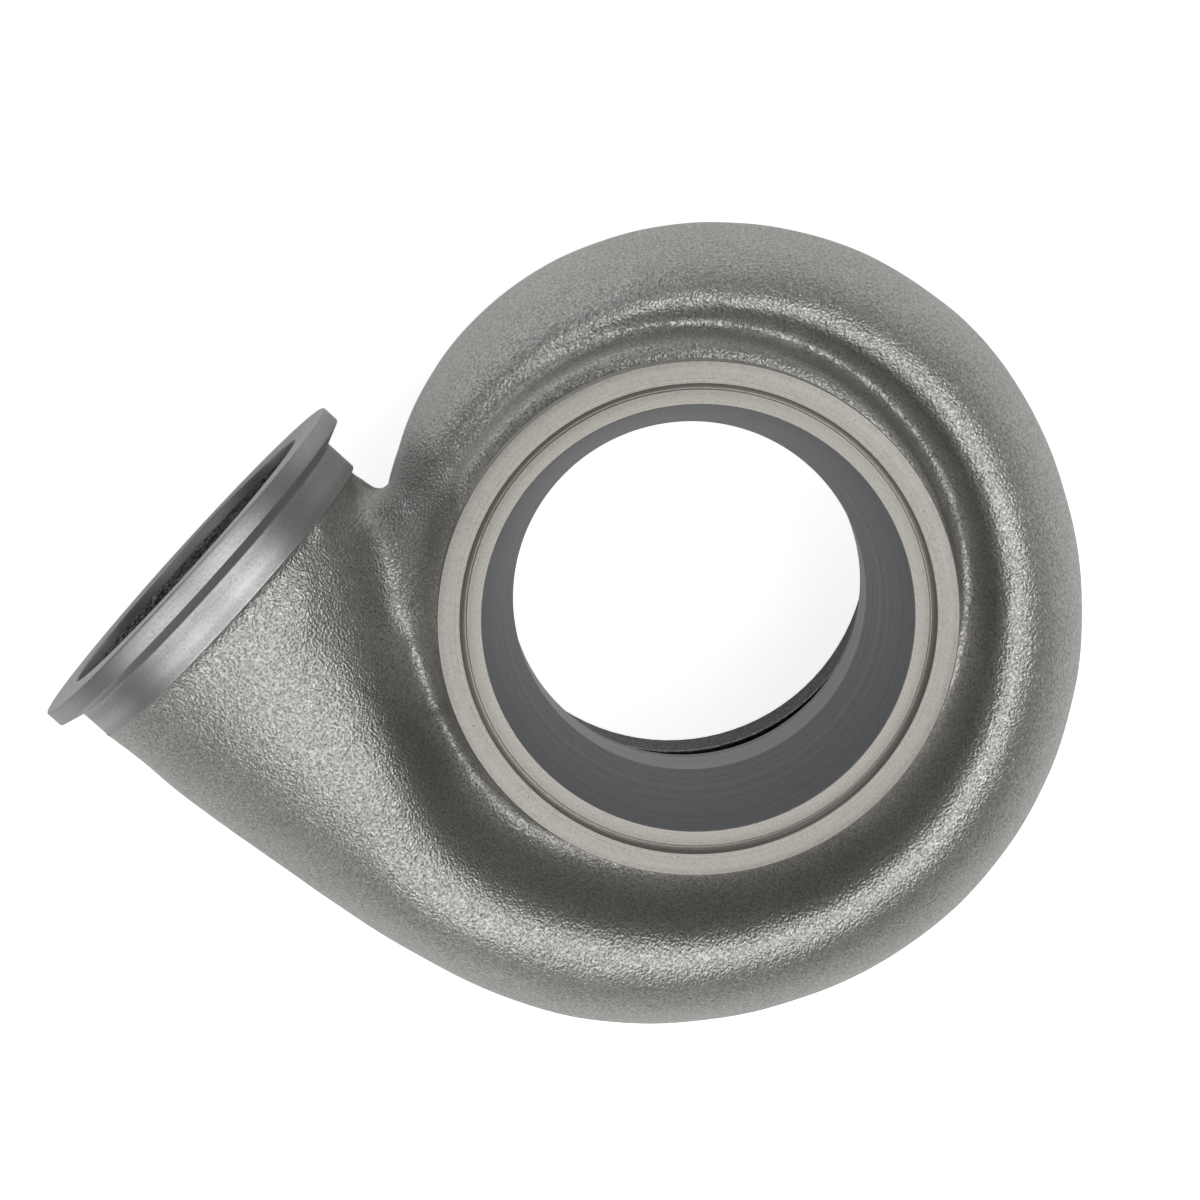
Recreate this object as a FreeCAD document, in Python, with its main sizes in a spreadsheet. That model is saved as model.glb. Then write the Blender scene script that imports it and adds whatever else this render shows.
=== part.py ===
import FreeCAD, Part
import Sketcher
import math
import os
import re

# Turbine housing of a turbocharger: one casting with a hollow scroll around the wheel bore.
# The wheel axis is Z. Z = 0 is the machined face that the bearing housing is clamped to, and the
# gas leaves at the top through a flange for a V-band clamp. The gas comes in along +X through a
# second, smaller V-band flange, runs once round the axis in the scroll and goes inward to the
# wheel through a slot all the way round.

os.makedirs("parts", exist_ok=True)
doc = FreeCAD.newDocument("turbine_housing")

# Driving dimensions, in millimetres and degrees
DIMENSIONS = {
    "overall_height": 78.0,
    # outlet flange and what is turned inside it
    "outlet_band_dia": 90.5,
    "outlet_rim_width": 3.5,
    "outlet_neck_dia": 82.0,
    "outlet_shoulder_drop": 13.0,
    "band_flank_angle": 20.0,
    "seal_ring_dia": 82.6,
    "seal_recess_depth": 1.2,
    "cone_mouth_dia": 75.0,
    "throat_dia": 63.3,
    # shroud that the wheel's blades run in, and the slot that feeds the wheel
    "throat_length": 11.6,
    "shroud_dia": 64.1,
    "shroud_curve_radius": 15.6,
    "shroud_lip_dia": 72.0,
    "shroud_lip_round": 2.2,
    "slot_floor_height": 18.0,
    "slot_width": 13.5,
    "slot_reach": 4.5,
    "slot_overlap": 3.2,
    "slot_inset": 0.4,
    # bearing side
    "bearing_flange_dia": 112.4,
    "bearing_flange_width": 12.0,
    "bearing_bore_dia": 75.9,
    "pilot_dia": 88.0,
    "pilot_depth": 2.5,
    "clamp_hole_dia": 6.8,
    "clamp_hole_depth": 9.0,
    "clamp_circle_dia": 100.0,
    "edge_chamfer": 0.8,
    # inlet flange
    "inlet_offset": 58.6,
    "inlet_height": 39.0,
    "inlet_face_distance": 69.8,
    "inlet_band_dia": 74.8,
    "inlet_rim_width": 3.3,
    "inlet_neck_dia": 66.2,
    "inlet_land_length": 11.2,
    "inlet_bore_dia": 59.0,
    "inlet_bore_length": 9.5,
    # cast duct behind the inlet flange
    "duct_offset": 60.0,
    "duct_dia": 63.8,
    "duct_wall": 5.1,
    # web between the duct and the end of the scroll
    "web_notch_radius": 3.3,
    "web_floor_height": 24.0,
    "web_dia": 119.2,
    "web_height": 45.5,
    "web_top_height": 58.0,
    "web_round": 20.0,
    "web_sweep": 26.0,
    # scroll: its outer radius every 45 degrees on from where the duct joins it
    "scroll_radius_000": 87.0,
    "scroll_radius_045": 83.5,
    "scroll_radius_090": 80.0,
    "scroll_radius_135": 73.8,
    "scroll_radius_180": 69.6,
    "scroll_radius_225": 64.7,
    "scroll_radius_270": 59.8,
    "scroll_radius_315": 54.0,
    "scroll_radius_360": 52.0,
    # scroll: crest, widest line, underside and the valley beside the outlet flange
    "crest_height_start": 68.0,
    "crest_height_end": 52.5,
    "belly_height_start": 38.0,
    "belly_height_end": 24.0,
    "underside_height_start": 5.5,
    "underside_height_end": 8.5,
    "crest_share_start": 0.57,
    "crest_share_end": 0.42,
    "valley_dia_start": 102.0,
    "valley_dia_end": 96.0,
    "valley_depth": 18.0,
    "valley_end_angle": 320.0,
    "tail_slope": 0.8,
    "shoulder_dia": 91.0,
    # walls of the scroll, and the tongue between its end and the duct
    "side_wall": 5.2,
    "roof_wall_start": 6.0,
    "roof_wall_end": 15.0,
    "floor_wall": 7.0,
    "tongue_angle": 318.0,
    "tongue_dia": 85.0,
}

sheet = doc.addObject("Spreadsheet::Sheet", "Sizes")
for row, (alias, value) in enumerate(DIMENSIONS.items(), start=1):
    sheet.set(f"A{row}", alias)
    sheet.set(f"B{row}", str(value))
    sheet.setAlias(f"B{row}", alias)
doc.recompute()


def bound(formula):
    """A formula in the names of driving dimensions, as an expression that other objects can hold."""
    return re.sub(r"[a-z]\w+", lambda word: f"Sizes.{word[0]}" if word[0] in DIMENSIONS else word[0], formula)


def worth(formula):
    return float(sheet.evalExpression(bound(formula)))


# Profiles: a closed chain of straight lines and arcs in the XZ plane, with the material or the
# hollow on the left of its way. Each corner is its two formulas, across and up, and the radius of
# the arc where the way to the next corner bends out to the left.

def profile_body(name, corners):
    body = doc.addObject("PartDesign::Body", name)
    sketch = body.newObject("Sketcher::SketchObject", f"{name}_profile")
    plane = next(item for item in body.Origin.OriginFeatures if item.Role == "XZ_Plane")
    sketch.AttachmentSupport = [(plane, "")]
    sketch.MapMode = "FlatFace"
    points = [FreeCAD.Vector(worth(corner[0]), worth(corner[1]), 0) for corner in corners]
    for start, end, corner in zip(points, points[1:] + points[:1], corners):
        if len(corner) == 3:
            radius = worth(corner[2])
            chord = end - start
            right = FreeCAD.Vector(chord.y, -chord.x, 0).normalize()
            centre = (start + end) * 0.5 + right * math.sqrt(radius ** 2 - chord.Length ** 2 / 4)
            turns = [math.atan2(point.y - centre.y, point.x - centre.x) for point in (end, start)]
            circle = Part.Circle(centre, FreeCAD.Vector(0, 0, 1), radius)
            sketch.addGeometry(Part.ArcOfCircle(circle, *turns), False)
        else:
            sketch.addGeometry(Part.LineSegment(start, end), False)
    for index, corner in enumerate(corners):
        # an arc is stored against the way of the profile, so its ends are the other way round
        first = 2 if len(corner) == 3 else 1
        before = (index - 1) % len(corners)
        last = 1 if len(corners[before]) == 3 else 2
        sketch.addConstraint(Sketcher.Constraint("Coincident", before, last, index, first))
        for axis, value, formula in (("X", points[index].x, corner[0]), ("Y", points[index].y, corner[1])):
            tie = sketch.addConstraint(Sketcher.Constraint(f"Distance{axis}", -1, 1, index, first, value))
            sketch.setExpression(f"Constraints[{tie}]", bound(formula))
        if len(corner) == 3:
            tie = sketch.addConstraint(Sketcher.Constraint("Radius", index, worth(corner[2])))
            sketch.setExpression(f"Constraints[{tie}]", bound(corner[2]))
    sketch.Visibility = False
    return body, sketch


FULL_TURN = 360


def turned_body(name, corners):
    """The profile revolved about the upright axis."""
    body, sketch = profile_body(name, corners)
    turned = body.newObject("PartDesign::Revolution", f"{name}_turned")
    turned.Profile = (sketch, [""])
    turned.ReferenceAxis = (sketch, ["V_Axis"])
    turned.Angle = FULL_TURN
    body.Tip = turned
    return body


# Solid core: bearing flange below, neck and outlet flange above
BAND_FLANK = "(outlet_band_dia - outlet_neck_dia) / 2 * tan(band_flank_angle)"
core = turned_body("core", [
    ("0", "0"),
    ("bearing_flange_dia / 2 - edge_chamfer", "0"),
    ("bearing_flange_dia / 2", "edge_chamfer"),
    ("bearing_flange_dia / 2", "bearing_flange_width"),
    ("outlet_neck_dia / 2", "bearing_flange_width"),
    ("outlet_neck_dia / 2", f"overall_height - outlet_rim_width - {BAND_FLANK}"),
    ("outlet_band_dia / 2", "overall_height - outlet_rim_width"),
    ("outlet_band_dia / 2", "overall_height"),
    ("0", "overall_height"),
])

# Inlet flange, turned in its own frame: heights run outward from the plane through the wheel axis
INLET_FLANK = "(inlet_band_dia - inlet_neck_dia) / 2 * tan(band_flank_angle)"
inlet_flange = turned_body("inlet_flange", [
    ("0", "inlet_face_distance - inlet_land_length - inlet_rim_width"),
    ("inlet_bore_dia / 2", "inlet_face_distance - inlet_land_length - inlet_rim_width"),
    ("inlet_bore_dia / 2", "inlet_face_distance - inlet_land_length"),
    ("inlet_neck_dia / 2", "inlet_face_distance - inlet_land_length"),
    ("inlet_neck_dia / 2", f"inlet_face_distance - inlet_rim_width - {INLET_FLANK}"),
    ("inlet_band_dia / 2", "inlet_face_distance - inlet_rim_width"),
    ("inlet_band_dia / 2", "inlet_face_distance"),
    ("0", "inlet_face_distance"),
])

# What the wheel, the exhaust pipe and the bearing housing go into, from the bearing side up
LIP_COSINE = "(1 - (shroud_lip_dia - shroud_dia) / 2 / shroud_curve_radius)"
LIP_SINE = f"sqrt(1 - {LIP_COSINE} ^ 2)"
SLOT_TOP = "(slot_floor_height + slot_width)"
SLOT_RADIUS = "(shroud_lip_dia / 2 + slot_reach)"
LIP_HEIGHT = f"({SLOT_TOP} + shroud_lip_round * (1 - {LIP_SINE}))"
SHROUD_HEIGHT = f"({LIP_HEIGHT} + shroud_curve_radius * {LIP_SINE})"
wheel_bore = turned_body("wheel_bore", [
    ("0", "-pilot_depth"),
    ("pilot_dia / 2", "-pilot_depth"),
    ("pilot_dia / 2", "pilot_depth"),
    ("bearing_bore_dia / 2", "pilot_depth"),
    ("bearing_bore_dia / 2", "slot_floor_height"),
    (SLOT_RADIUS, "slot_floor_height"),
    (SLOT_RADIUS, SLOT_TOP),
    (f"shroud_lip_dia / 2 + shroud_lip_round * {LIP_COSINE}", SLOT_TOP, "shroud_lip_round"),
    ("shroud_lip_dia / 2", LIP_HEIGHT, "shroud_curve_radius"),
    ("shroud_dia / 2", SHROUD_HEIGHT),
    ("throat_dia / 2", f"{SHROUD_HEIGHT} + throat_length"),
    ("cone_mouth_dia / 2", "overall_height - seal_recess_depth"),
    ("seal_ring_dia / 2 - seal_recess_depth", "overall_height - seal_recess_depth"),
    ("seal_ring_dia / 2", "overall_height"),
    ("seal_ring_dia / 2", "overall_height + seal_recess_depth"),
    ("0", "overall_height + seal_recess_depth"),
])

# Turned bore of the inlet flange, in the same frame as the flange
INLET_BORE_END = "(inlet_face_distance - inlet_bore_length)"
DUCT_WAY = "(duct_dia / 2 - duct_wall)"
inlet_bore = turned_body("inlet_bore", [
    ("0", f"{INLET_BORE_END} - edge_chamfer"),
    ("inlet_bore_dia / 2 - edge_chamfer", f"{INLET_BORE_END} - edge_chamfer"),
    ("inlet_bore_dia / 2", INLET_BORE_END),
    ("inlet_bore_dia / 2", "inlet_face_distance + edge_chamfer"),
    ("0", "inlet_face_distance + edge_chamfer"),
])
for turned in (inlet_flange, inlet_bore):
    turned.Placement = FreeCAD.Placement(FreeCAD.Vector(), FreeCAD.Rotation(FreeCAD.Vector(0, 1, 0), -90))
    turned.setExpression("Placement.Base.y", bound("-inlet_offset"))
    turned.setExpression("Placement.Base.z", bound("inlet_height"))
doc.recompute()


# Cross-sections of the scroll. The scroll angle runs from the duct's end, at -Y, round by +X. A
# section is a closed chain of curves, each given by its two ends and the two points that pull it,
# as (distance from the axis, height).

HALF_TURN = FULL_TURN / 2
RADIUS_STEP = 45

# Shares of a curve's width or height for which it keeps to the line at its end
CREST_REACH = 0.56
SIDE_REACH_START = 0.28
SIDE_REACH_END = 0.55
SHOULDER_REACH = 0.7
VALLEY_REACH_INNER = 0.4
VALLEY_REACH_OUTER = 0.45
CREST_REACH_INNER = 0.75
MOUTH_REACH = 0.57
ROOF_REACH = 0.25
FLOOR_REACH = 0.4

# Where across its width the gas way is highest and lowest, at the start and the end of the scroll
WAY_MIDDLE_START = 0.7
WAY_MIDDLE_END = 0.5
scroll_radii = [size for size in DIMENSIONS if size.startswith("scroll_radius")]
radius_curve = Part.BSplineCurve()
radius_curve.interpolate(
    Points=[FreeCAD.Vector(index * RADIUS_STEP, worth(alias), 0) for index, alias in enumerate(scroll_radii)],
    Parameters=[index * RADIUS_STEP for index in range(len(scroll_radii))],
)


def scroll_radius(angle):
    return radius_curve.value(angle).y


def between(first, second, share):
    """The value, point or section that lies at a share of the way from the first to the second."""
    if isinstance(first, (list, tuple)):
        return [between(one, other, share) for one, other in zip(first, second)]
    return first + (second - first) * share


def along_scroll(name, angle):
    return between(worth(f"{name}_start"), worth(f"{name}_end"), angle / FULL_TURN)


def crest_distance(angle):
    """The crest stands outside the middle of the scroll's width at first and inside it from half way on."""
    ease = max(1 - angle / HALF_TURN, 0) ** 2
    share = between(worth("crest_share_end"), worth("crest_share_start"), ease)
    return between(worth("shoulder_dia / 2"), scroll_radius(angle), share)


def top_slope(angle):
    """The top of the scroll is level at the crest for half a turn, then leans outward more and more."""
    return worth("tail_slope") * max(angle - HALF_TURN, 0) / HALF_TURN


def valley_depth(angle):
    """How far the valley beside the outlet flange lies below the crest."""
    turn = min(angle / worth("valley_end_angle"), 1) * math.pi
    return worth("valley_depth") * (1 + math.cos(turn)) / 2


def bend(start, end, reach_start, reach_end, slope_start=0, slope_end=0):
    """A curve whose ends run along the distance, or fall away outward with a slope. The reaches are the
    shares of the distance for which the curve keeps to the lines at its ends."""
    first = (end[0] - start[0]) * reach_start
    last = (end[0] - start[0]) * reach_end
    return [start, [start[0] + first, start[1] - slope_start * first],
            [end[0] - last, end[1] + slope_end * last], end]


def quarter(start, end, angle, slope=0):
    """From the crest, or from the underside, round to the widest line, where the side is upright."""
    reach = (end[0] - start[0]) * CREST_REACH
    side_reach = between(SIDE_REACH_START, SIDE_REACH_END, angle / FULL_TURN)
    return [start, [start[0] + reach, start[1] - slope * reach],
            [end[0], between(end[1], start[1], side_reach)], end]


def straight(start, end):
    return [start, between(start, end, 1 / 3), between(start, end, 2 / 3), end]


def skin_section(angle):
    """Outside of the scroll, from the shoulder below the outlet flange over the crest to the underside."""
    inside = worth("bearing_bore_dia / 2")
    crest = [crest_distance(angle), along_scroll("crest_height", angle)]
    shoulder = [worth("shoulder_dia / 2"), worth("overall_height - outlet_shoulder_drop")]
    valley = [along_scroll("valley_dia", angle) / 2, crest[1] - valley_depth(angle)]
    slope = top_slope(angle)
    valley[1] += slope * (crest[0] - valley[0])
    belly = [scroll_radius(angle), along_scroll("belly_height", angle)]
    underside = [crest[0], along_scroll("underside_height", angle)]
    top_inside = [inside, shoulder[1]]
    bottom_inside = [inside, underside[1]]
    return [
        straight(top_inside, shoulder),
        bend(shoulder, valley, SHOULDER_REACH, VALLEY_REACH_INNER, 0, slope),
        bend(valley, crest, VALLEY_REACH_OUTER, CREST_REACH_INNER, slope, slope),
        quarter(crest, belly, angle, slope),
        quarter(underside, belly, angle)[::-1],
        straight(underside, bottom_inside),
        straight(bottom_inside, top_inside),
    ]


def way_section(angle, outer_radius):
    """Gas way inside the scroll: it opens into the slot and clears the skin by the walls."""
    mouth = worth(f"{SLOT_RADIUS} - slot_overlap")
    mouth_low = [mouth, worth("slot_floor_height + slot_inset")]
    mouth_high = [mouth, worth(f"{SLOT_TOP} - slot_inset")]
    middle = between(mouth, outer_radius, between(WAY_MIDDLE_START, WAY_MIDDLE_END, angle / FULL_TURN))
    roof = [middle, along_scroll("crest_height", angle) - along_scroll("roof_wall", angle)]
    floor = [middle, along_scroll("underside_height", angle) + worth("floor_wall")]
    belly = [outer_radius, along_scroll("belly_height", angle)]
    return [
        straight(mouth_low, mouth_high),
        bend(mouth_high, roof, MOUTH_REACH, ROOF_REACH),
        quarter(roof, belly, angle),
        quarter(floor, belly, angle)[::-1],
        bend(floor, mouth_low, FLOOR_REACH, FLOOR_REACH),
    ]


def round_section(radius, corner_turns):
    """Circle about the duct's middle, cut at the same corners as the scroll section that it turns into."""
    middle = [worth("duct_offset"), worth("inlet_height")]
    section = []
    for start, end in zip(corner_turns, corner_turns[1:]):
        start, end = math.radians(start), math.radians(end)
        pull = radius * 4 / 3 * math.tan((end - start) / 4)
        ends = [[middle[0] + radius * math.cos(turn), middle[1] + radius * math.sin(turn)]
                for turn in (start, end)]
        section.append([
            ends[0],
            [ends[0][0] - pull * math.sin(start), ends[0][1] + pull * math.cos(start)],
            [ends[1][0] + pull * math.sin(end), ends[1][1] - pull * math.cos(end)],
            ends[1],
        ])
    return section


def section_wire(name, section, place):
    """The section as a wire, where place turns (distance, height) into a point of the housing."""
    curves = []
    for poles in section:
        curve = Part.BezierCurve()
        curve.setPoles([place(distance, height) for distance, height in poles])
        curves.append(curve.toShape())
    feature = doc.addObject("Part::Feature", name)
    feature.Shape = Part.Wire(curves)
    feature.Visibility = False
    return feature


def scroll_wire(name, section, angle):
    turn = math.radians(angle - 90)
    return section_wire(name, section, lambda distance, height: FreeCAD.Vector(
        distance * math.cos(turn), distance * math.sin(turn), height))


# The duct turns from a circle into the scroll's first section. Some corners and curves of the section
# do so early on the way to the scroll, some steadily and some late.
DUCT_STEPS = 4


def early(share):
    return 1 - (1 - share) ** 2


def steady(share):
    return share ** 1.5


def late(share):
    return share ** 3


# Each corner of the section and the curve that follows it: where the corner lies round the circle, in
# degrees, at the inlet and at the scroll, and how the corner and the curve turn into the scroll's
SKIN_CORNERS = [(195, 190, late, late), (170, 178, early, late), (150, 160, early, late),
                (90, 90, steady, steady), (0, 0, steady, steady), (-90, -90, steady, late),
                (-140, -150, late, late)]
WAY_CORNERS = [(210, 210, late, early), (150, 150, early, early), (90, 90, steady, steady),
               (0, 0, steady, steady), (-90, -90, steady, late)]


def duct_wires(name, radius, corners, scroll_end, start):
    """The foot and the valley of the scroll's section keep going round the axis in the duct, as far as
    the duct's near side, and the outer half goes straight on."""
    foot, crest = worth("shoulder_dia / 2"), crest_distance(0)
    near_side = worth("duct_offset - duct_dia / 2")
    wires = []
    for index in range(DUCT_STEPS):
        share = index / DUCT_STEPS
        along = worth(start) * (1 - share)
        turns = [between(at_inlet, at_scroll, share) for at_inlet, at_scroll, *_ in corners]
        round_end = round_section(worth(radius), turns + [turns[0] - FULL_TURN])
        section = []
        for number, (round_curve, scroll_curve) in enumerate(zip(round_end, scroll_end)):
            ends = []
            for corner, pull, owner in ((0, 1, number), (3, 2, (number + 1) % len(corners))):
                distance, height = scroll_curve[corner]
                inner = min(max((crest - distance) / (crest - foot), 0), 1)
                round_distance = math.sqrt(max(distance ** 2 - along ** 2, near_side ** 2))
                scroll_corner = [between(distance, round_distance, inner), height]
                at = between(round_curve[corner], scroll_corner, corners[owner][2](share))
                pulls = [[to - of for to, of in zip(curve[pull], curve[corner])]
                         for curve in (round_curve, scroll_curve)]
                by = between(*pulls, corners[number][3](share))
                ends.append((at, [of + to for of, to in zip(at, by)]))
            section.append([ends[0][0], ends[0][1], ends[1][1], ends[1][0]])
        wires.append(section_wire(f"{name}_duct_{index}", section, lambda distance, height: FreeCAD.Vector(
            along, -distance, height)))
    return wires


def loft(name, wires):
    feature = doc.addObject("Part::Loft", name)
    feature.Sections = wires
    feature.Solid = True
    feature.Ruled = False
    return feature


# Skin of the duct and of the scroll's first half in one sweep, and of the second half in another
SCROLL_STEPS = 16
SKIN_END = 358
skin_angles = [FULL_TURN * index / SCROLL_STEPS for index in range(SCROLL_STEPS)] + [SKIN_END]
half_way = SCROLL_STEPS // 2
skin_wires = [scroll_wire(f"skin_{index}", skin_section(angle), angle)
              for index, angle in enumerate(skin_angles)]
duct_skin = duct_wires("skin", "duct_dia / 2", SKIN_CORNERS, skin_section(0),
                       "inlet_land_length - inlet_face_distance - edge_chamfer")
scroll_skin = loft("scroll_skin", duct_skin + skin_wires[:half_way + 1])
tail_skin = loft("tail_skin", skin_wires[half_way:])

# Gas way in the duct and in the scroll's first half
way_sections = [way_section(angle, scroll_radius(angle) - worth("side_wall"))
                for angle in skin_angles[:half_way + 1]]
way_wires = [scroll_wire(f"way_{index}", section, skin_angles[index])
             for index, section in enumerate(way_sections)]
duct_way = duct_wires("way", "duct_dia / 2 - duct_wall", WAY_CORNERS, way_sections[0],
                      "inlet_bore_length - inlet_face_distance - edge_chamfer / 2")
scroll_way = loft("scroll_way", duct_way + way_wires)

# The end of the gas way narrows to the tongue, which parts it from the duct
TAIL_STEPS = 5
tail_wires = [way_wires[-1]]
tongue_angle = worth("tongue_angle")
narrowing = scroll_radius(tongue_angle) - worth("side_wall") - worth("tongue_dia / 2")
for index in range(1, TAIL_STEPS + 1):
    share = index / TAIL_STEPS
    angle = between(HALF_TURN, tongue_angle, share)
    section = way_section(angle, scroll_radius(angle) - worth("side_wall") - narrowing * share ** 2)
    tail_wires.append(scroll_wire(f"tail_way_{index}", section, angle))
tail_way = loft("tail_way", tail_wires)
doc.recompute()


# Threaded holes for the bolts that clamp the bearing housing, drilled to thread core size
CLAMP_HOLES = 6
clamp_holes = []
for index in range(CLAMP_HOLES):
    hole = doc.addObject("Part::Cylinder", f"clamp_hole_{index + 1}")
    turn = FULL_TURN * (index + 0.5) / CLAMP_HOLES
    hole.setExpression("Radius", bound("clamp_hole_dia / 2"))
    hole.setExpression("Height", bound("clamp_hole_depth + pilot_depth"))
    hole.setExpression("Placement.Base.x", bound(f"clamp_circle_dia / 2 * cos({turn})"))
    hole.setExpression("Placement.Base.y", bound(f"clamp_circle_dia / 2 * sin({turn})"))
    hole.setExpression("Placement.Base.z", bound("-pilot_depth"))
    clamp_holes.append(hole)


# Web that ties the end of the scroll to the duct. Its rounded top goes on where the top of the scroll
# ends, and a round notch parts its outer edge from the inlet flange.
NOTCH_ACROSS = "(duct_offset - duct_dia / 2 - web_notch_radius)"
NOTCH_DISTANCE = "(bearing_flange_dia / 2 + web_notch_radius)"
web, web_profile = profile_body("web", [
    (SLOT_RADIUS, "web_floor_height"),
    (SLOT_RADIUS, "web_top_height"),
    ("shoulder_dia / 2", "web_top_height", "web_round"),
    ("web_dia / 2", "web_height"),
    ("web_dia / 2", "web_floor_height"),
])
web_sector = web.newObject("PartDesign::Revolution", "web_sector")
web_sector.Profile = (web_profile, [""])
web_sector.ReferenceAxis = (web_profile, ["V_Axis"])
web_sector.setExpression("Angle", bound("web_sweep"))
web.Tip = web_sector
web.Placement = FreeCAD.Placement(FreeCAD.Vector(), FreeCAD.Rotation(FreeCAD.Vector(0, 0, 1), 1))
web.setExpression("Placement.Rotation.Angle", bound(f"180 deg + asin({NOTCH_ACROSS} / {NOTCH_DISTANCE})"))
notch = doc.addObject("Part::Cylinder", "web_notch")
notch.setExpression("Radius", bound("web_notch_radius"))
notch.setExpression("Height", bound("web_top_height"))
notch.setExpression("Placement.Base.x", bound(f"-sqrt({NOTCH_DISTANCE} ^ 2 - {NOTCH_ACROSS} ^ 2)"))
notch.setExpression("Placement.Base.y", bound(f"-{NOTCH_ACROSS}"))
notched_web = doc.addObject("Part::Cut", "notched_web")
notched_web.Base = web
notched_web.Tool = notch


# The casting: everything solid together, less everything hollow
solid = doc.addObject("Part::MultiFuse", "casting_solid")
solid.Shapes = [core, inlet_flange, scroll_skin, tail_skin, notched_web]
hollow = doc.addObject("Part::MultiFuse", "casting_hollow")
hollow.Shapes = [wheel_bore, inlet_bore, scroll_way, tail_way] + clamp_holes
housing = doc.addObject("Part::Cut", "turbine_housing")
housing.Base = solid
housing.Tool = hollow
housing.Label = "turbine_housing"
doc.recompute()

faults = [item.Name for item in doc.Objects if {"Invalid", "Error"} & set(item.State)]
shape = housing.Shape
if faults or shape.isNull() or not shape.isValid() or len(shape.Solids) != 1:
    raise RuntimeError(f"the housing did not build: {faults}")
shape.exportStep("parts/turbine_housing.step")
box = shape.BoundBox
print(f"turbine_housing: {shape.Volume / 1000:.1f} cm3, {len(shape.Faces)} faces")
print(f"box {box.XMin:.2f} {box.YMin:.2f} {box.ZMin:.2f} to {box.XMax:.2f} {box.YMax:.2f} {box.ZMax:.2f}")
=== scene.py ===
import math
import bmesh
import bpy
from mathutils import Matrix, Vector, noise
from mathutils.bvhtree import BVHTree


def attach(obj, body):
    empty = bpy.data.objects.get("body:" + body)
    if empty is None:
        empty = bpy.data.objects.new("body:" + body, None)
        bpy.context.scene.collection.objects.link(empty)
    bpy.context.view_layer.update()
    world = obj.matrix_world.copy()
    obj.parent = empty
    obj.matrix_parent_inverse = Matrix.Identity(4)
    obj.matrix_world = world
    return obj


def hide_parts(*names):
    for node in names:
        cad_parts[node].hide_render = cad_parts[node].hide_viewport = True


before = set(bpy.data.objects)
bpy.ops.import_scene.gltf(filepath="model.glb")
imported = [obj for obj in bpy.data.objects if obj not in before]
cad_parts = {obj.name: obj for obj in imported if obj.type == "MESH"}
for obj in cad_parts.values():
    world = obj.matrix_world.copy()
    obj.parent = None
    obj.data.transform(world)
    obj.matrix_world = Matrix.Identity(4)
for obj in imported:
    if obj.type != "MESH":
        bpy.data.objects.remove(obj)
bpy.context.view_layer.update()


# The raw casting
# The scroll, its duct and the web between them come out of a sand mould in one pour of heat-proof cast
# steel, so every inner corner is a soft fillet and the skin keeps the grain of the sand. The skin is made
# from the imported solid: its bores are stopped up, and a fine even mesh is drawn over the outside.

MM = 0.001
SKIN_GRID = 0.85 * MM
SLOT_RADIUS = 40.5
BAND_RADIUS = 56.2
INLET_Y = -58.6
INLET_Z = 39
INLET_AXIS = Vector((0, INLET_Y, INLET_Z)) * MM
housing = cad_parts["turbine_housing"]


def new_piece(name, form):
    mesh = bpy.data.meshes.new(name)
    form.to_mesh(mesh)
    form.free()
    piece = bpy.data.objects.new(name, mesh)
    bpy.context.scene.collection.objects.link(piece)
    return piece


def show_for_housing(piece):
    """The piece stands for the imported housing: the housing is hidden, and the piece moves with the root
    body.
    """
    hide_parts("turbine_housing")
    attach(piece, "root")


def add_plug(form, radius, low, high, place):
    """A plain round stopper in a bore, from low to high on the local Z axis."""
    length = (high - low) * MM
    middle = place @ Matrix.Translation((0, 0, (high + low) / 2 * MM))
    bmesh.ops.create_cone(form, cap_ends=True, segments=96, radius1=radius * MM, radius2=radius * MM,
                          depth=length, matrix=middle)


TOWARDS_INLET = Matrix.Translation(INLET_AXIS) @ Matrix.Rotation(math.radians(-90), 4, "Y")
stopped = bmesh.new()
stopped.from_mesh(housing.data)
add_plug(stopped, 41, 0.6, 77.4, Matrix.Identity(4))
add_plug(stopped, 31, 57, 69.2, TOWARDS_INLET)
casting = new_piece("cast_skin", stopped)
grid = casting.modifiers.new("even_mesh", "REMESH")
grid.mode = "VOXEL"
grid.voxel_size = SKIN_GRID
depsgraph = bpy.context.evaluated_depsgraph_get()
even = bpy.data.meshes.new_from_object(casting.evaluated_get(depsgraph))
casting.modifiers.clear()
casting.data = even

skin = bmesh.new()
skin.from_mesh(casting.data)


def in_turned_zone(point):
    """Where the lathe has been: these faces are left to the turned pieces."""
    x, y, z = point / MM
    from_wheel_axis = math.hypot(x, y)
    from_inlet_axis = math.hypot(y - INLET_Y, z - INLET_Z)
    return (from_wheel_axis < SLOT_RADIUS - 0.3
            or (z > 67 and from_wheel_axis < 46.5)
            or (z < 4.6 and from_wheel_axis < 58)
            or (z < 12.2 and abs(from_wheel_axis - BAND_RADIUS) < 0.6)
            or (x < -59.2 and from_inlet_axis < 40)
            or (x < -50 and from_inlet_axis < 27))


bmesh.ops.delete(skin, geom=[face for face in skin.faces if in_turned_zone(face.calc_center_median())],
                 context="FACES")

# the fillets: the mesh is eased, which rounds the corners and leaves the broad shapes. The corner
# between the duct and the web has the widest fillet.
WEB_CORNER = Vector((-38, -33, 50)) * MM
WEB_REACH = 24 * MM
movable = [vert for vert in skin.verts if not vert.is_boundary]
beside_web = [vert for vert in movable if (vert.co - WEB_CORNER).length < WEB_REACH]
for verts, steps in ((movable, 12), (beside_web, 60)):
    for step in range(steps):
        bmesh.ops.smooth_vert(skin, verts=verts, factor=0.5, use_axis_x=True, use_axis_y=True,
                              use_axis_z=True)

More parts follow.
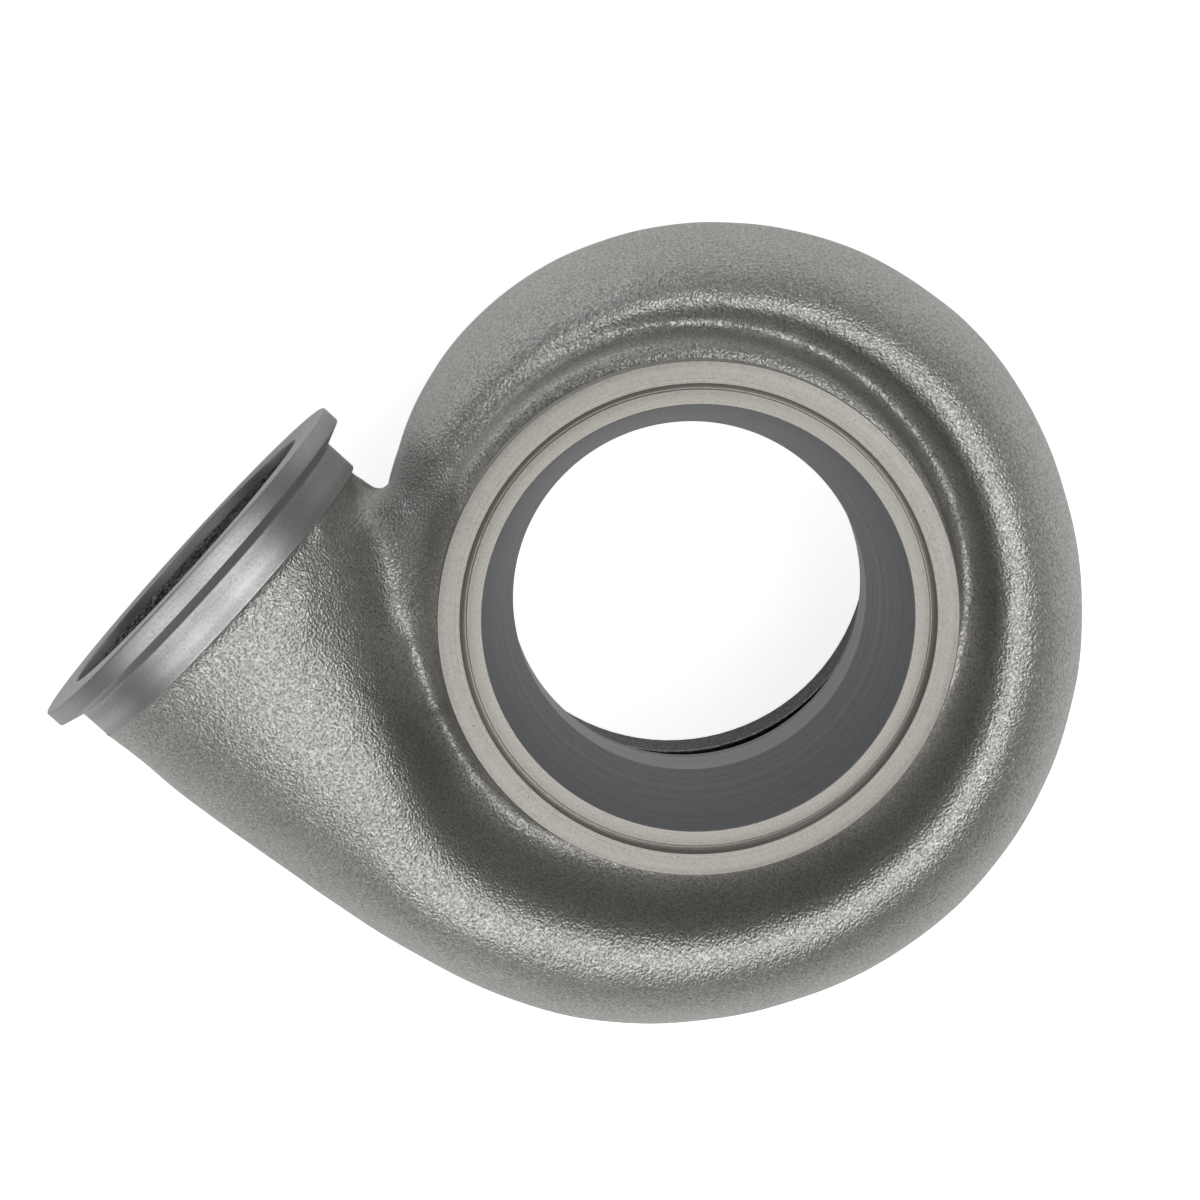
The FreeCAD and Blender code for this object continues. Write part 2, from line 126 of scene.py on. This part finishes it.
# the sand leaves the surface slightly uneven, most of all in the web's corner, and a small lump of
# steel stands beside the inlet's turned land. All of it is sunk a little, to stay within the solid's box.
LUMP = Vector((-57.6, -35.3, 60.2)) * MM
LUMP_RADIUS = 1.6 * MM
LUMP_HEIGHT = 0.9
RIPPLE_REACH = 22 * MM
SINK = 0.1
skin.normal_update()
for vert in movable:
    near_web = max(0, 1 - (vert.co - WEB_CORNER).length / RIPPLE_REACH)
    ripple = noise.noise(vert.co * 320) * 0.22 * near_web
    sway = noise.noise(vert.co * 95) * 0.13
    lump = LUMP_HEIGHT * math.exp(-((vert.co - LUMP).length / LUMP_RADIUS) ** 2)
    vert.co += vert.normal * (ripple + sway + lump - SINK) * MM
for face in skin.faces:
    face.smooth = True
skin.to_mesh(casting.data)
skin.free()
show_for_housing(casting)


def node_group(name, inputs, outputs):
    """An empty shader group with named sockets, each given as (name, kind, value)."""
    group = bpy.data.node_groups.new(name, "ShaderNodeTree")
    for socket_name, kind, value in inputs:
        socket = group.interface.new_socket(socket_name, in_out="INPUT", socket_type=kind)
        if value is not None:
            socket.default_value = value
    for socket_name, kind in outputs:
        group.interface.new_socket(socket_name, in_out="OUTPUT", socket_type=kind)
    return group, group.nodes.new("NodeGroupInput"), group.nodes.new("NodeGroupOutput")


def add_node(tree, kind, links=(), **settings):
    """A node with its settings and its links, where links are (its input, another node's output)."""
    node = tree.nodes.new(kind)
    for key, value in settings.items():
        setattr(node, key, value)
    for socket, source in links:
        if hasattr(source, "is_output"):
            tree.links.new(source, node.inputs[socket])
        else:
            node.inputs[socket].default_value = source
    return node


def maths(tree, first, second, operation="ADD"):
    """One figure from two, each a number or another node's output."""
    return add_node(tree, "ShaderNodeMath", [(0, first), (1, second)], operation=operation).outputs[0]


def ramp(tree, value, stops):
    """A colour ramp of (place, grey or colour) stops."""
    node = add_node(tree, "ShaderNodeValToRGB", [(0, value)])
    elements = node.color_ramp.elements
    while len(elements) < len(stops):
        elements.new(0.5)
    for element, (place, colour) in zip(elements, stops):
        element.position = place
        element.color = (*colour, 1) if isinstance(colour, tuple) else (colour, colour, colour, 1)
    return node.outputs[0]


# sand grain: pebbles of half a millimetre with fine grit on them, on softer dimples and slow waves
sand_grain, grain_in, grain_out = node_group(
    "sand_grain",
    [("Place", "NodeSocketVector", None), ("Grit size", "NodeSocketFloat", 0.5)],
    [("Height", "NodeSocketFloat"), ("Grit", "NodeSocketFloat"), ("Patches", "NodeSocketFloat")])
place = grain_in.outputs["Place"]
grit_scale = maths(sand_grain, 1000.0, grain_in.outputs["Grit size"], "DIVIDE")
grit = add_node(sand_grain, "ShaderNodeTexNoise",
                [("Vector", place), ("Scale", grit_scale), ("Detail", 2.0), ("Roughness", 0.5)])
pebbles = add_node(sand_grain, "ShaderNodeTexVoronoi", [("Vector", place), ("Scale", grit_scale)])
dimples = add_node(sand_grain, "ShaderNodeTexNoise", [("Vector", place), ("Scale", 900.0), ("Detail", 2.0)])
waves = add_node(sand_grain, "ShaderNodeTexNoise", [("Vector", place), ("Scale", 150.0), ("Detail", 2.0)])
patches = add_node(sand_grain, "ShaderNodeTexNoise", [("Vector", place), ("Scale", 45.0), ("Detail", 3.0)])
domes = maths(sand_grain, pebbles.outputs["Distance"], 0.5, "MULTIPLY")
pebbled = maths(sand_grain, grit.outputs[0], domes, "SUBTRACT")
dimpled = maths(sand_grain, pebbled, maths(sand_grain, dimples.outputs[0], 0.6, "MULTIPLY"))
height = maths(sand_grain, dimpled, maths(sand_grain, waves.outputs[0], 1.2, "MULTIPLY"))
sand_grain.links.new(height, grain_out.inputs["Height"])
sand_grain.links.new(grit.outputs[0], grain_out.inputs["Grit"])
sand_grain.links.new(patches.outputs[0], grain_out.inputs["Patches"])


def cast_steel(name, dark, light, roughness, relief, grit_size=0.5):
    """Blasted cast steel: a grey metal whose grain catches the light, its colour darker in the grit's hollows
    as painted shade and lighter on its tops as painted glints.
    """
    material = bpy.data.materials.new(name)
    material.use_nodes = True
    tree = material.node_tree
    shader = tree.nodes["Principled BSDF"]
    coordinates = add_node(tree, "ShaderNodeTexCoord")
    grain = add_node(tree, "ShaderNodeGroup", node_tree=sand_grain)
    grain.inputs["Grit size"].default_value = grit_size
    tree.links.new(coordinates.outputs["Object"], grain.inputs["Place"])
    # the tone follows the fine grit: besides the grain's own mottling it is painted shade in the hollows and
    # painted glints on the tops
    tone = ramp(tree, grain.outputs["Grit"], [(0.3, dark), (0.7, light)])
    worn = ramp(tree, grain.outputs["Patches"], [(0.3, 0.92), (0.7, 1.0)])
    colour = add_node(tree, "ShaderNodeMix", [(0, 1.0), (6, tone), (7, worn)], data_type="RGBA",
                      blend_type="MULTIPLY")
    gloss = ramp(tree, grain.outputs["Grit"], [(0.35, roughness + 0.1), (0.7, roughness - 0.08)])
    bump = add_node(tree, "ShaderNodeBump", [("Height", grain.outputs["Height"]), ("Distance", relief * MM)])
    tree.links.new(colour.outputs[2], shader.inputs["Base Color"])
    tree.links.new(gloss, shader.inputs["Roughness"])
    tree.links.new(bump.outputs[0], shader.inputs["Normal"])
    shader.inputs["Metallic"].default_value = 0.9
    return material


casting.data.materials.append(cast_steel("cast_grey", (0.3, 0.3, 0.295), (0.6, 0.585, 0.55), 0.39, 0.21))


# The gas way
# The hollow of the scroll and of the duct was a sand core. It keeps the same grain as the outside and is
# a little darker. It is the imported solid's own wall: the faces that lie a wall's thickness inside the skin.

THINNEST_WALL = 2.4 * MM
outside = BVHTree.FromObject(casting, bpy.context.evaluated_depsgraph_get())
way = bmesh.new()
way.from_mesh(housing.data)
not_way = []
for face in way.faces:
    middle = face.calc_center_median()
    in_slot = middle.xy.length < (SLOT_RADIUS - 0.01) * MM
    from_skin = outside.find_nearest(middle)[3]
    if in_turned_zone(middle) or in_slot or from_skin < THINNEST_WALL:
        not_way.append(face)
bmesh.ops.delete(way, geom=not_way, context="FACES")
for face in way.faces:
    face.smooth = True
gas_way = new_piece("gas_way", way)
show_for_housing(gas_way)
core_grey = cast_steel("core_grey", (0.13, 0.13, 0.13), (0.42, 0.41, 0.39), 0.42, 0.4, 0.7)
gas_way.data.materials.append(core_grey)


# The outlet
# What the lathe leaves on the casting at the outlet: the flange with its sloped back, the groove between
# its two rings, the cone and the wheel's throat. It is bare steel with fine rings round the axis, and a
# file has broken its edges.

FLANGE_RADIUS = 45.25
NECK_RADIUS = 41.0
OUTLET_HEIGHT = 78.0
INNER_RING_HEIGHT = 76.8
CONE_RADIUS = 37.5
THROAT_RADIUS = 31.65
THROAT_HEIGHT = 54.2
SHROUD_RADIUS = 32.05
ROUND_STEPS = 288
SHARP = math.radians(25)


def rounded(corners):
    """The profile with each corner that has a third value broken by an arc of that radius."""
    points = []
    for index, corner in enumerate(corners):
        here = Vector(corner[:2])
        if len(corner) == 2:
            points.append(here)
            continue
        back = (Vector(corners[index - 1][:2]) - here).normalized()
        on = (Vector(corners[index + 1][:2]) - here).normalized()
        half = back.angle(on) / 2
        centre = here + (back + on).normalized() * corner[2] / math.sin(half)
        start = here + back * corner[2] / math.tan(half)
        end = here + on * corner[2] / math.tan(half)
        for step in range(5):
            points.append(centre + (start - centre).lerp(end - centre, step / 4).normalized() * corner[2])
    return points


def shade_smooth(form):
    """Smooth faces, with the edges that the tool left sharp kept sharp."""
    for edge in form.edges:
        edge.smooth = edge.is_boundary or edge.calc_face_angle(0) < SHARP
    for face in form.faces:
        face.smooth = True


def turned_piece(name, points, place):
    """A surface of revolution of (radius, height) points about the local Z axis, set down by a matrix."""
    form = bmesh.new()
    turns = [math.tau * step / ROUND_STEPS for step in range(ROUND_STEPS)]
    rings = [[form.verts.new((radius * MM * math.cos(turn), radius * MM * math.sin(turn), height * MM))
              for turn in turns] for radius, height in points]
    for lower, upper in zip(rings, rings[1:]):
        for step in range(len(turns)):
            after = (step + 1) % len(turns)
            form.faces.new((lower[step], lower[after], upper[after], upper[step]))
    form.transform(place)
    shade_smooth(form)
    piece = new_piece(name, form)
    show_for_housing(piece)
    return piece


outlet = turned_piece("turned_outlet", rounded([
    (39.5, 64.0), (NECK_RADIUS, 64.2), (NECK_RADIUS, 72.95, 0.6), (FLANGE_RADIUS, 74.5, 0.3),
    (FLANGE_RADIUS, OUTLET_HEIGHT, 0.25), (41.3, OUTLET_HEIGHT, 0.15), (40.95, 76.95, 0.2),
    (40.3, 76.5, 0.2), (40.1, INNER_RING_HEIGHT, 0.1), (CONE_RADIUS, INNER_RING_HEIGHT, 0.25),
    (THROAT_RADIUS, THROAT_HEIGHT, 0.8), (SHROUD_RADIUS, 42.6)]), Matrix.Identity(4))


# fine rings that the tool's point leaves, tiny pits from the casting, and duller and brighter bands
tool_rings, rings_in, rings_out = node_group(
    "tool_rings",
    [("Along", "NodeSocketFloat", 0.0), ("Place", "NodeSocketVector", None)],
    [("Height", "NodeSocketFloat"), ("Tone", "NodeSocketFloat"), ("Pits", "NodeSocketFloat")])
along = rings_in.outputs["Along"]
place = rings_in.outputs["Place"]
fine_rings = add_node(tool_rings, "ShaderNodeTexNoise", [("W", along), ("Scale", 3200.0), ("Detail", 2.0)],
                      noise_dimensions="1D")
broad_rings = add_node(tool_rings, "ShaderNodeTexNoise", [("W", along), ("Scale", 450.0), ("Detail", 1.0)],
                       noise_dimensions="1D")
speckle = add_node(tool_rings, "ShaderNodeTexNoise", [("Vector", place), ("Scale", 2200.0), ("Detail", 3.0)])
pit_mask = ramp(tool_rings, speckle.outputs[0], [(0.66, 0.0), (0.74, 1.0)])
ring_sum = maths(tool_rings, fine_rings.outputs[0], broad_rings.outputs[0])
flecks = maths(tool_rings, speckle.outputs[0], 1.6, "MULTIPLY")
mottled = maths(tool_rings, ring_sum, flecks)
tool_rings.links.new(maths(tool_rings, mottled, pit_mask, "SUBTRACT"), rings_out.inputs["Height"])
tool_rings.links.new(maths(tool_rings, mottled, 0.278, "MULTIPLY"), rings_out.inputs["Tone"])
tool_rings.links.new(pit_mask, rings_out.inputs["Pits"])


def turned_steel(name, axis_point, axis, dark, light, roughness, relief, metallic=0.8):
    """Bare turned steel: the rings follow the distance from the axis and along it."""
    material = bpy.data.materials.new(name)
    material.use_nodes = True
    tree = material.node_tree
    shader = tree.nodes["Principled BSDF"]
    coordinates = add_node(tree, "ShaderNodeTexCoord")
    arm = add_node(tree, "ShaderNodeVectorMath", [(0, coordinates.outputs["Object"]), (1, axis_point)],
                   operation="SUBTRACT")
    height = add_node(tree, "ShaderNodeVectorMath", [(0, arm.outputs[0]), (1, axis)], operation="DOT_PRODUCT")
    upright = add_node(tree, "ShaderNodeVectorMath", [(0, axis), ("Scale", height.outputs["Value"])],
                       operation="SCALE")
    flat = add_node(tree, "ShaderNodeVectorMath", [(0, arm.outputs[0]), (1, upright.outputs[0])],
                    operation="SUBTRACT")
    distance = add_node(tree, "ShaderNodeVectorMath", [(0, flat.outputs[0])], operation="LENGTH")
    along = maths(tree, distance.outputs["Value"], height.outputs["Value"])
    rings = add_node(tree, "ShaderNodeGroup", node_tree=tool_rings)
    tree.links.new(along, rings.inputs["Along"])
    tree.links.new(coordinates.outputs["Object"], rings.inputs["Place"])
    tone = ramp(tree, rings.outputs["Tone"], [(0.35, dark), (0.65, light)])
    pitted = add_node(tree, "ShaderNodeMix",
                      [(0, rings.outputs["Pits"]), (6, tone), (7, (0.12, 0.12, 0.11, 1))], data_type="RGBA")
    gloss = ramp(tree, rings.outputs["Tone"], [(0.35, roughness + 0.06), (0.65, roughness - 0.06)])
    bump = add_node(tree, "ShaderNodeBump", [("Height", rings.outputs["Height"]), ("Distance", relief * MM)])
    tree.links.new(pitted.outputs[2], shader.inputs["Base Color"])
    tree.links.new(gloss, shader.inputs["Roughness"])
    tree.links.new(bump.outputs[0], shader.inputs["Normal"])
    shader.inputs["Metallic"].default_value = metallic
    return material


WHEEL_AXIS = ((0, 0, 0), (0, 0, 1))
RING, CONE, THROAT = range(3)
outlet.data.materials.append(
    turned_steel("turned_ring", *WHEEL_AXIS, (0.26, 0.25, 0.225), (0.37, 0.355, 0.325), 0.42, 0.012))
outlet.data.materials.append(
    turned_steel("turned_cone", *WHEEL_AXIS, (0.25, 0.255, 0.265), (0.34, 0.345, 0.36), 0.42, 0.004, 0.5))
outlet.data.materials.append(
    turned_steel("turned_throat", *WHEEL_AXIS, (0.36, 0.365, 0.38), (0.46, 0.465, 0.48), 0.35, 0.003, 0.5))
for face in outlet.data.polygons:
    below_rings = face.center.z < (INNER_RING_HEIGHT - 0.1) * MM
    if below_rings and face.center.xy.length < (CONE_RADIUS + 0.1) * MM:
        face.material_index = CONE if face.center.z > (THROAT_HEIGHT - 0.2) * MM else THROAT


# The wheel's shroud, the slot and the bearing side
# The turning goes on below the throat: the wheel's blades run in the curved shroud, the gas comes in
# through the slot under its lip, and the bearing housing sits in the two bores and on the face below.

def arc(centre, radius, start, end, steps):
    """Points on an arc between two turns in degrees."""
    turns = [math.radians(start + (end - start) * step / steps) for step in range(steps + 1)]
    return [(centre[0] + radius * math.cos(turn), centre[1] + radius * math.sin(turn)) for turn in turns]


SHROUD_TURN = 221.7
SLOT_ROOF = 31.5
SLOT_FLOOR = 18.0
shroud = arc((47.65, 42.61), 15.6, 180, SHROUD_TURN, 10)
shroud_lip = arc((37.64, 33.7), 2.2, SHROUD_TURN, 270, 6)
inner_wall = turned_piece("turned_shroud", shroud + shroud_lip[1:] + [(41.2, SLOT_ROOF)], Matrix.Identity(4))

# the back bore ends in a steep rough lead-in under the slot, whose lower edge the tool has torn
LIP_RADIUS = 37.95
LIP_HEIGHT = 12.6
bearing = bmesh.new()
bearing.from_mesh(housing.data)
elsewhere = []
for face in bearing.faces:
    x, y, z = face.calc_center_median() / MM
    radius = math.hypot(x, y)
    above_flange = z > 12.02 and radius > SLOT_RADIUS + 0.02
    if z > SLOT_FLOOR + 0.02 or radius > BAND_RADIUS + 0.02 or above_flange:
        elsewhere.append(face)
bmesh.ops.delete(bearing, geom=elsewhere, context="FACES")
bmesh.ops.bisect_plane(bearing, geom=bearing.verts[:] + bearing.edges[:] + bearing.faces[:],
                       plane_co=(0, 0, LIP_HEIGHT * MM), plane_no=(0, 0, 1))
cut_away = [face for face in bearing.faces if face.calc_center_median().z > LIP_HEIGHT * MM
            and face.calc_center_median().xy.length < (SLOT_RADIUS + 0.02) * MM]
bmesh.ops.delete(bearing, geom=cut_away, context="FACES")
shade_smooth(bearing)
bearing_side = new_piece("bearing_side", bearing)
show_for_housing(bearing_side)
for piece in (inner_wall, bearing_side):
    piece.data.materials.append(
        turned_steel(f"{piece.name}_steel", *WHEEL_AXIS, (0.3, 0.3, 0.3), (0.42, 0.42, 0.41), 0.42, 0.006))
bearing_side.data.materials.append(
    cast_steel("bore_grey", (0.1, 0.1, 0.1), (0.3, 0.3, 0.3), 0.5, 0.1))
for face in bearing_side.data.polygons:
    x, y, z = face.center / MM
    if math.hypot(x, y) < LIP_RADIUS + 0.35 and 4 < z < SLOT_FLOOR:
        face.material_index = 1

lead_in = turned_piece("slot_lead_in", [(LIP_RADIUS, LIP_HEIGHT), (39.8, 12.8), (SLOT_RADIUS, SLOT_FLOOR)],
                       Matrix.Identity(4))
# the lead-in is coloured near black, a painted shade standing for the dark hollow of the scroll seen under
# the slot
lead_in.data.materials.append(cast_steel("slot_painted_shade", (0.02, 0.02, 0.02), (0.05, 0.05, 0.05), 0.7, 0.1))

LIP_STEPS = 900
ragged = bmesh.new()
lip_rings = [[], [], []]
for step in range(LIP_STEPS):
    turn = math.tau * step / LIP_STEPS
    out = Vector((math.cos(turn), math.sin(turn), 0))
    tear = 0.32 + 0.45 * noise.noise(out * 60) + 0.3 * noise.noise(out * 190)
    radii = (LIP_RADIUS + 0.25, LIP_RADIUS - 0.3 * tear, LIP_RADIUS - 0.02)
    heights = (LIP_HEIGHT + 0.02, LIP_HEIGHT + 0.7 * tear, LIP_HEIGHT - 1.0 + 0.9 * tear)
    for ring, radius, height in zip(lip_rings, radii, heights):
        ring.append(ragged.verts.new((out * radius + Vector((0, 0, height))) * MM))
for upper, lower in zip(lip_rings, lip_rings[1:]):
    for step in range(LIP_STEPS):
        after = (step + 1) % LIP_STEPS
        ragged.faces.new((upper[step], lower[step], lower[after], upper[after]))
ragged_lip = new_piece("ragged_lip", ragged)
show_for_housing(ragged_lip)
# the lip is bright torn metal and also a painted highlight: its colour is raised near white so that it shows
# bright in the slot's shade
ragged_lip.data.materials.append(cast_steel("torn_steel_and_painted_highlight", (0.4, 0.4, 0.39), (0.95, 0.94, 0.92), 0.5, 0.15))


# The inlet flange
# A smaller V-band flange, turned on the end of the duct about its own axis, with a neck, a short turned
# land where the casting begins, and a bored mouth. Only the first two millimetres of the mouth are turned:
# below them it is as rough as the gas way.

MOUTH_RADIUS = 29.5
MOUTH_FACE = 69.8
ROUGH_FROM = 67.9
INLET_BAND_RADIUS = 37.4
INLET_NECK_RADIUS = 33.1
inlet = turned_piece("turned_inlet", rounded([
    (26.4, 59.2), (28.7, 59.5), (MOUTH_RADIUS, 60.3, 0.2), (MOUTH_RADIUS, ROUGH_FROM),
    (MOUTH_RADIUS, MOUTH_FACE, 0.4), (INLET_BAND_RADIUS, MOUTH_FACE, 0.3), (INLET_BAND_RADIUS, 66.5, 0.25),
    (INLET_NECK_RADIUS, 64.94, 0.5), (INLET_NECK_RADIUS, 58.6, 0.2), (30.5, 58.4)]), TOWARDS_INLET)
inlet.data.materials.append(
    turned_steel("turned_inlet_steel", tuple(INLET_AXIS), (-1, 0, 0), (0.3, 0.305, 0.31), (0.46, 0.455, 0.45),
                 0.42, 0.006, 0.85))
inlet.data.materials.append(core_grey)
for face in inlet.data.polygons:
    x, y, z = face.center / MM
    if -x < ROUGH_FROM and math.hypot(y - INLET_Y, z - INLET_Z) < MOUTH_RADIUS + 0.5:
        face.material_index = 1


# The floor
# A plain white table. It keeps the shadow of the housing, to the camera it is as bright as paper, and the
# bare steel mirrors it more weakly.

FLOOR_REACH = 3.0
FLOOR_DROP = 0.02 * MM
PAPER_GLOW = 0.82
MIRRORED_SHARE = 0.25
floor_form = bmesh.new()
bmesh.ops.create_grid(floor_form, x_segments=1, y_segments=1, size=FLOOR_REACH)
floor = new_piece("floor", floor_form)
floor.location.z = -FLOOR_DROP
paper = bpy.data.materials.new("paper")
paper.use_nodes = True
tree = paper.node_tree
tree.nodes.clear()
path = add_node(tree, "ShaderNodeLightPath")
mirrored = maths(tree, path.outputs["Is Glossy Ray"], MIRRORED_SHARE, "MULTIPLY")
seen = maths(tree, path.outputs["Is Camera Ray"], mirrored, "MAXIMUM")
glow = maths(tree, seen, PAPER_GLOW, "MULTIPLY")
shown = add_node(tree, "ShaderNodeEmission", [("Color", (1, 1, 1, 1)), ("Strength", glow)])
matt = add_node(tree, "ShaderNodeBsdfDiffuse", [("Color", (0.8, 0.8, 0.8, 1))])
both = add_node(tree, "ShaderNodeAddShader", [(0, shown.outputs[0]), (1, matt.outputs[0])])
add_node(tree, "ShaderNodeOutputMaterial", [("Surface", both.outputs[0])])
floor.data.materials.append(paper)


# The light and the camera
# Broad soft boxes above the table, the strongest over the far side of the scroll, with a cooler one low
# on the left, and the photograph's viewpoint: almost straight down on the outlet, leaning to the inlet.

MIDDLE = Vector((6, -12, 40)) * MM
BOX_DISTANCE = 0.8
DIM_WORLD = 0.12


def soft_box(name, towards, size, power, colour=(1, 1, 1)):
    lamp = bpy.data.lights.new(name, "AREA")
    lamp.shape = "SQUARE"
    lamp.size = size
    lamp.energy = power
    lamp.color = colour
    box = bpy.data.objects.new(name, lamp)
    bpy.context.scene.collection.objects.link(box)
    box.location = MIDDLE + Vector(towards).normalized() * BOX_DISTANCE
    box.rotation_euler = (box.location - MIDDLE).to_track_quat("Z", "Y").to_euler()


soft_box("key_box", (0.15, 0.45, 0.88), 0.55, 2.2)
soft_box("front_box", (0.15, -0.05, 0.98), 0.6, 1.2)
soft_box("near_box", (0.15, -0.55, 0.82), 0.6, 2.0)
soft_box("side_box", (-0.9, 0.2, 0.25), 0.45, 0.8, (0.93, 0.97, 1.0))

world = bpy.data.worlds.new("studio")
bpy.context.scene.world = world
world.use_nodes = True
tree = world.node_tree
path = add_node(tree, "ShaderNodeLightPath")
shown = maths(tree, path.outputs["Is Camera Ray"], path.outputs["Is Transmission Ray"], "MAXIMUM")
background = tree.nodes["Background"]
background.inputs["Color"].default_value = (1, 1, 1, 1)
strength = add_node(tree, "ShaderNodeMix", [(0, shown), (2, DIM_WORLD), (3, 1.0)])
tree.links.new(strength.outputs[0], background.inputs["Strength"])

camera_data = bpy.data.cameras.new("camera")
camera_data.sensor_width = 36
camera_data.lens = 104.31
camera = bpy.data.objects.new("camera", camera_data)
bpy.context.scene.collection.objects.link(camera)
CAMERA_PLACE = Vector((-107.6, 52.5, 665.6)) * MM
right = Vector((0.7297, 0.6824, 0.0435))
up = Vector((-0.6661, 0.7237, -0.1803))
back = Vector((-0.1545, 0.1026, 0.9826))
aim = Matrix((right, up, back)).transposed().to_4x4()
camera.matrix_world = Matrix.Translation(CAMERA_PLACE) @ aim
bpy.context.scene.camera = camera
bpy.context.scene.view_settings.view_transform = "Standard"
